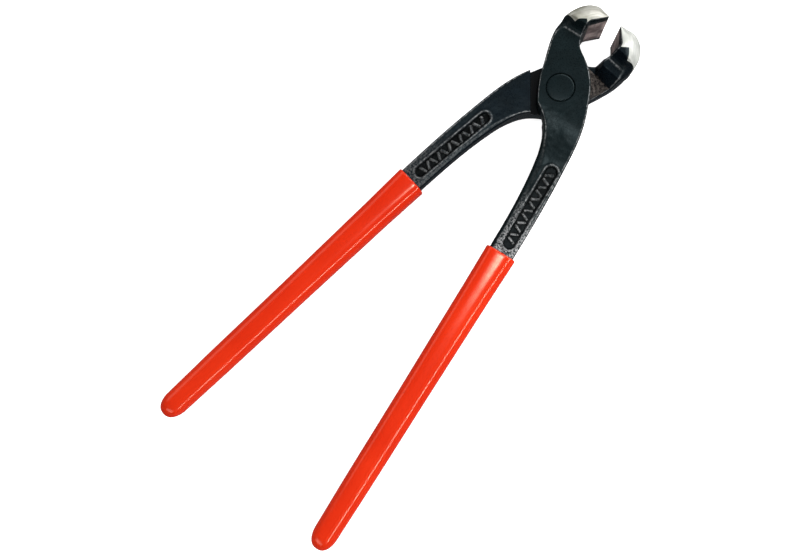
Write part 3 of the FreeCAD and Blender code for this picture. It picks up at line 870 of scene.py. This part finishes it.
# What the lights are aimed at.
TOOL_MIDDLE = Vector((0.0, -0.09, 0.008))


def staging(name, vertices, faces, material):
    """A part of the set round the tool. Gloss doesn't show it, so the steel and vinyl keep their depth."""
    mesh = bpy.data.meshes.new(name)
    mesh.from_pydata(vertices, [], faces)
    mesh.materials.append(material)
    mesh.shade_smooth()
    obj = bpy.data.objects.new(name, mesh)
    bpy.context.scene.collection.objects.link(obj)
    obj.visible_glossy = False
    return obj


def make_set():
    """A round pale floor under the jaws, and a pale wall far behind it on every side."""
    paint = floor_paint()
    level = cad_box[0].z - FLOOR_GAP
    around = [2 * math.pi * i / SET_STEPS for i in range(SET_STEPS)]
    rings = [[(r * math.cos(a), r * math.sin(a), level + rise) for a in around] for r, rise in SET_PROFILE]
    staging("floor", rings[0], [tuple(range(SET_STEPS))], paint)
    wall_faces = []
    for k in range(len(rings) - 2):
        for i in range(SET_STEPS):
            j = (i + 1) % SET_STEPS
            a, b = k * SET_STEPS, (k + 1) * SET_STEPS
            wall_faces.append((a + i, a + j, b + j, b + i))
    wall = staging("wall", sum(rings[1:], []), wall_faces, paint)
    wall.visible_diffuse = False
    wall.visible_shadow = False


def soft_light(name, place, width, length, radiance):
    """An area light of a given brightness, aimed at the tool's middle, with its length along the tool."""
    data = bpy.data.lights.new(name, "AREA")
    data.shape = "RECTANGLE"
    data.size, data.size_y = width, length
    data.energy = radiance * math.pi * width * length
    light = bpy.data.objects.new(name, data)
    light.visible_camera = False
    back = (Vector(place) - TOOL_MIDDLE).normalized()
    across = Vector((0, 1, 0)).cross(back).normalized() if abs(back.y) < 0.9 else Vector((1, 0, 0))
    turn = Matrix((across, back.cross(across), back)).transposed().to_4x4()
    light.matrix_world = Matrix.Translation(place) @ turn
    bpy.context.scene.collection.objects.link(light)


def make_studio():
    """A bright strip along the tool's right, dimmer boxes round it, and one small lamp straight above."""
    soft_light("right_strip", (0.37, -0.09, 0.45), 0.028, 0.9, 34.0)
    soft_light("left_box", (-0.62, -0.09, 0.50), 0.3, 0.9, 1.4)
    soft_light("front_box", (0.0, 0.55, 0.50), 0.9, 0.25, 9.0)
    soft_light("tail_box", (0.0, -0.85, 0.50), 0.5, 0.2, 3.0)
    soft_light("overhead_lamp", (0.03, 0.02, 1.2), 0.09, 0.15, 55.0)
    world = bpy.data.worlds.new("studio")
    world.use_nodes = True
    background = world.node_tree.nodes["Background"]
    background.inputs["Color"].default_value = (0.95, 0.98, 1.0, 1)
    background.inputs["Strength"].default_value = 0.10
    bpy.context.scene.world = world
    bpy.context.scene.view_settings.view_transform = "Standard"


# The camera's place over the tool, the directions of its right side and its back, and its lens.
CAMERA_PLACE = Vector((0.0325, -0.0909, 0.3518))
CAMERA_RIGHT = Vector((0.7663, 0.6351, -0.0970))
CAMERA_BACK = Vector((0.0980, 0.0337, 0.9946))
LENS, SENSOR = 36.9, 36.0


def make_camera():
    """The camera, nearly straight above the tool."""
    data = bpy.data.cameras.new("camera")
    data.lens, data.sensor_width = LENS, SENSOR
    data.clip_start = 0.01
    camera = bpy.data.objects.new("camera", data)
    back = CAMERA_BACK.normalized()
    up = back.cross(CAMERA_RIGHT).normalized()
    right = up.cross(back)
    turn = Matrix((right, up, back)).transposed().to_4x4()
    camera.matrix_world = Matrix.Translation(CAMERA_PLACE) @ turn
    bpy.context.scene.collection.objects.link(camera)
    bpy.context.scene.camera = camera


# ---------------------------------------------------------------------------------------------
# The scene
# ---------------------------------------------------------------------------------------------
make_camera()
make_set()
make_studio()

# Ground steel: dull colour, bright colour, how the streaks run, roughness; the upper crown is painted darker
# as shade and the lower brighter as light. Forging: tint, pattern, painted glint specks.
# one ground steel in two copies: the upper crown painted darker as shade, the lower brighter as light
shaded_upper_crown = ground_steel("shaded_upper_crown", (0.18, 0.18, 0.135), (0.60, 0.59, 0.54), (60, 60, 2500), 0.5)
lit_lower_crown = ground_steel("lit_lower_crown", (0.36, 0.37, 0.34), (0.76, 0.77, 0.73), (60, 60, 2500), 0.5)
bevel = ground_steel("ground_bevel", (0.17, 0.12, 0.115), (0.66, 0.53, 0.51), (900, 900, 60), 0.5)
lap = lap_steel("lap_face")
upper_steel = [black_forging("upper_forging", (0.0030, 0.0060, 0.0068), 0, 0.42), shaded_upper_crown, bevel, lap]
lower_steel = [black_forging("lower_forging", (0.0024, 0.0046, 0.0068), 9, 0.08), lit_lower_crown, bevel, lap]
make_lever("upper_forged_lever", "upper_lever", "upper_half", False, 3.0, upper_steel)
make_lever("lower_forged_lever", "lower_lever", "lower_half", True, 41.0, lower_steel)
make_rivet(black_forging("rivet_steel", (0.0030, 0.0060, 0.0068), 4, 0.1))
red = vinyl("dipped_vinyl")
make_grip("upper_dipped_grip", "upper_grip", "upper_half", False, 5.0, red)
make_grip("lower_dipped_grip", "lower_grip", "lower_half", True, 17.0, red)
